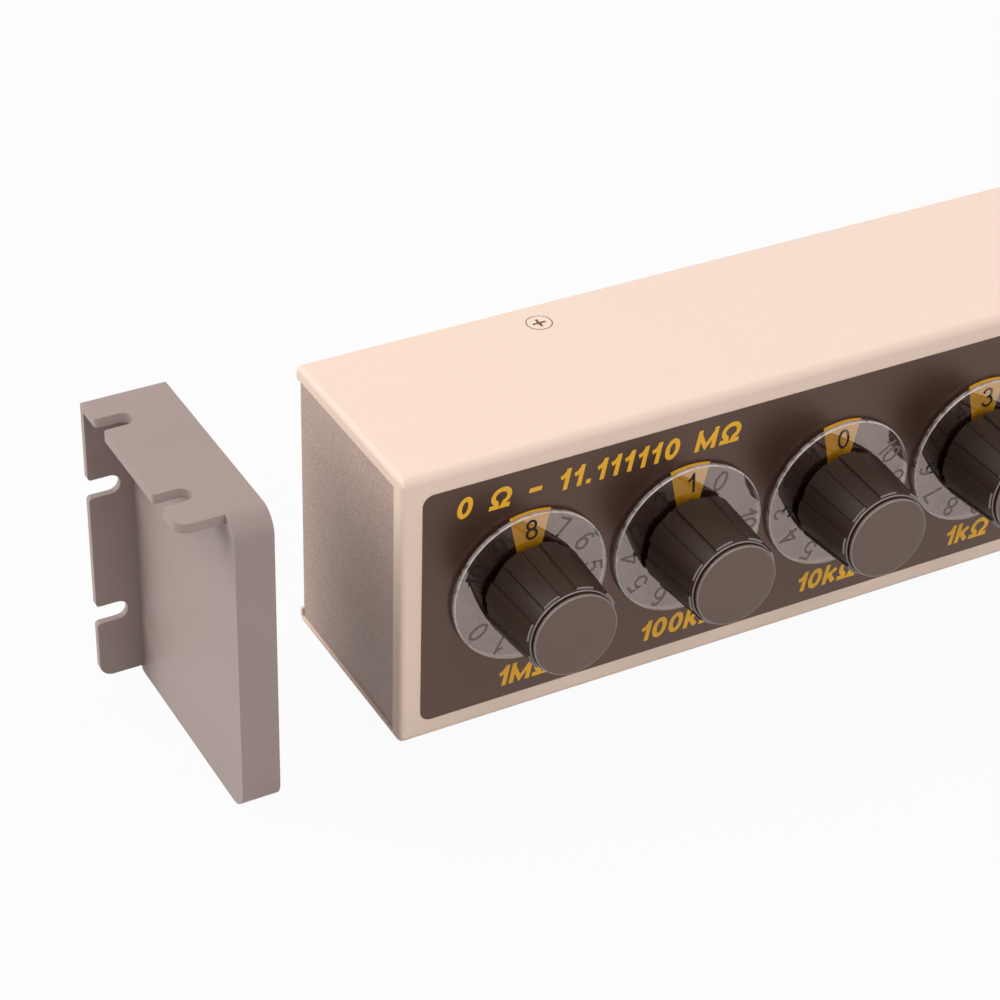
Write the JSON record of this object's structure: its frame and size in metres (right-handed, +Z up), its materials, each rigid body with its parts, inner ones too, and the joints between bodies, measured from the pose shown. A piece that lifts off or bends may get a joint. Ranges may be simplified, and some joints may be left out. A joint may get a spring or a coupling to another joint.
{
  "type": "decade resistance box",
  "caption": "Long bench case with a row of switched resistance decades under figure dials, binding posts, and slotted push-on end caps for mounting.",
  "frame": {"origin": "centre of the whole footprint, on the surface that the box stands on", "axes": "+X along the case towards the terminals, +Y from the front to the back, +Z up"},
  "size_m": [0.3714, 0.0726, 0.0719],
  "materials": {
    "shell_paint": "fine textured powder coat",
    "chassis_paint": "orange-peel textured paint",
    "label_film": "satin printed film",
    "screw_plating": "bright nickel",
    "nut_steel": "zinc plated",
    "foot_rubber": "matt",
    "cap_moulding": "satin moulded",
    "board_laminate": "solder resist",
    "resistor_coat": "lacquered",
    "knob_moulding": "polished",
    "knob_cap_satin": "fine satin",
    "dial_acrylic": "clear",
    "switch_moulding": "moulded",
    "red_moulding": "moulded",
    "black_moulding": "moulded",
    "post_plating": "nickel plated brass",
    "fibre": "plain",
    "tag_brass": "plain",
    "wire_sleeve": "insulated wire"
  },
  "bodies": {
    "case": {"front_shell": "shell_paint", "rear_chassis": "chassis_paint", "front_label": "label_film", "case_screws": "screw_plating", "press_nuts": "nut_steel", "rubber_feet": "foot_rubber", "circuit_board": "board_laminate", "resistors": "resistor_coat", "switch_washers": "nut_steel", "switch_nuts": "nut_steel", "switch_body_1": "switch_moulding", "switch_body_2": "switch_moulding", "switch_body_3": "switch_moulding", "switch_body_4": "switch_moulding", "switch_body_5": "switch_moulding", "switch_body_6": "switch_moulding", "switch_body_7": "switch_moulding", "red_base": "red_moulding", "black_base": "black_moulding", "terminal_posts": "post_plating", "terminal_washers": "fibre", "solder_tags": "tag_brass", "terminal_nuts": "tag_brass", "terminal_wires": "wire_sleeve"},
    "decade_1": {"knob_1": "knob_moulding", "knob_cap_1": "knob_cap_satin", "figure_dial_1": "dial_acrylic", "switch_shaft_1": "nut_steel"},
    "decade_2": {"knob_2": "knob_moulding", "knob_cap_2": "knob_cap_satin", "figure_dial_2": "dial_acrylic", "switch_shaft_2": "nut_steel"},
    "decade_3": {"knob_3": "knob_moulding", "knob_cap_3": "knob_cap_satin", "figure_dial_3": "dial_acrylic", "switch_shaft_3": "nut_steel"},
    "decade_4": {"knob_4": "knob_moulding", "knob_cap_4": "knob_cap_satin", "figure_dial_4": "dial_acrylic", "switch_shaft_4": "nut_steel"},
    "decade_5": {"knob_5": "knob_moulding", "knob_cap_5": "knob_cap_satin", "figure_dial_5": "dial_acrylic", "switch_shaft_5": "nut_steel"},
    "decade_6": {"knob_6": "knob_moulding", "knob_cap_6": "knob_cap_satin", "figure_dial_6": "dial_acrylic", "switch_shaft_6": "nut_steel"},
    "decade_7": {"knob_7": "knob_moulding", "knob_cap_7": "knob_cap_satin", "figure_dial_7": "dial_acrylic", "switch_shaft_7": "nut_steel"},
    "left_cap": {"left_end_cap": "cap_moulding"},
    "right_cap": {"right_end_cap": "cap_moulding"},
    "red_clamp": {"red_thumb_nut": "red_moulding"},
    "black_clamp": {"black_thumb_nut": "black_moulding"}
  },
  "joints": [
    {"name": "decade_1_turn", "type": "hinge", "parent": "case", "child": "decade_1", "pos_m": [-0.10965, -0.01578, 0.0358], "axis": [0, 1, 0], "range_deg": [-240, 60]},
    {"name": "decade_2_turn", "type": "hinge", "parent": "case", "child": "decade_2", "pos_m": [-0.0714, -0.01578, 0.0358], "axis": [0, 1, 0], "range_deg": [-30, 270]},
    {"name": "decade_3_turn", "type": "hinge", "parent": "case", "child": "decade_3", "pos_m": [-0.03315, -0.01578, 0.0358], "axis": [0, 1, 0], "range_deg": [0, 300]},
    {"name": "decade_4_turn", "type": "hinge", "parent": "case", "child": "decade_4", "pos_m": [0.0051, -0.01578, 0.0358], "axis": [0, 1, 0], "range_deg": [-90, 210]},
    {"name": "decade_5_turn", "type": "hinge", "parent": "case", "child": "decade_5", "pos_m": [0.04335, -0.01578, 0.0358], "axis": [0, 1, 0], "range_deg": [0, 300]},
    {"name": "decade_6_turn", "type": "hinge", "parent": "case", "child": "decade_6", "pos_m": [0.0816, -0.01578, 0.0358], "axis": [0, 1, 0], "range_deg": [-150, 150]},
    {"name": "decade_7_turn", "type": "hinge", "parent": "case", "child": "decade_7", "pos_m": [0.11985, -0.01578, 0.0358], "axis": [0, 1, 0], "range_deg": [-60, 240]},
    {"name": "left_cap_slide", "type": "slide", "parent": "case", "child": "left_cap", "axis": [1, 0, 0], "range_m": [0, 0.0346]},
    {"name": "right_cap_slide", "type": "slide", "parent": "case", "child": "right_cap", "axis": [1, 0, 0], "range_m": [0, 0.0346]},
    {"name": "red_clamp_slide", "type": "slide", "parent": "case", "child": "red_clamp", "axis": [0, -1, 0], "range_m": [0, 0.004]},
    {"name": "black_clamp_slide", "type": "slide", "parent": "case", "child": "black_clamp", "axis": [0, -1, 0], "range_m": [0, 0.004]}
  ]
}
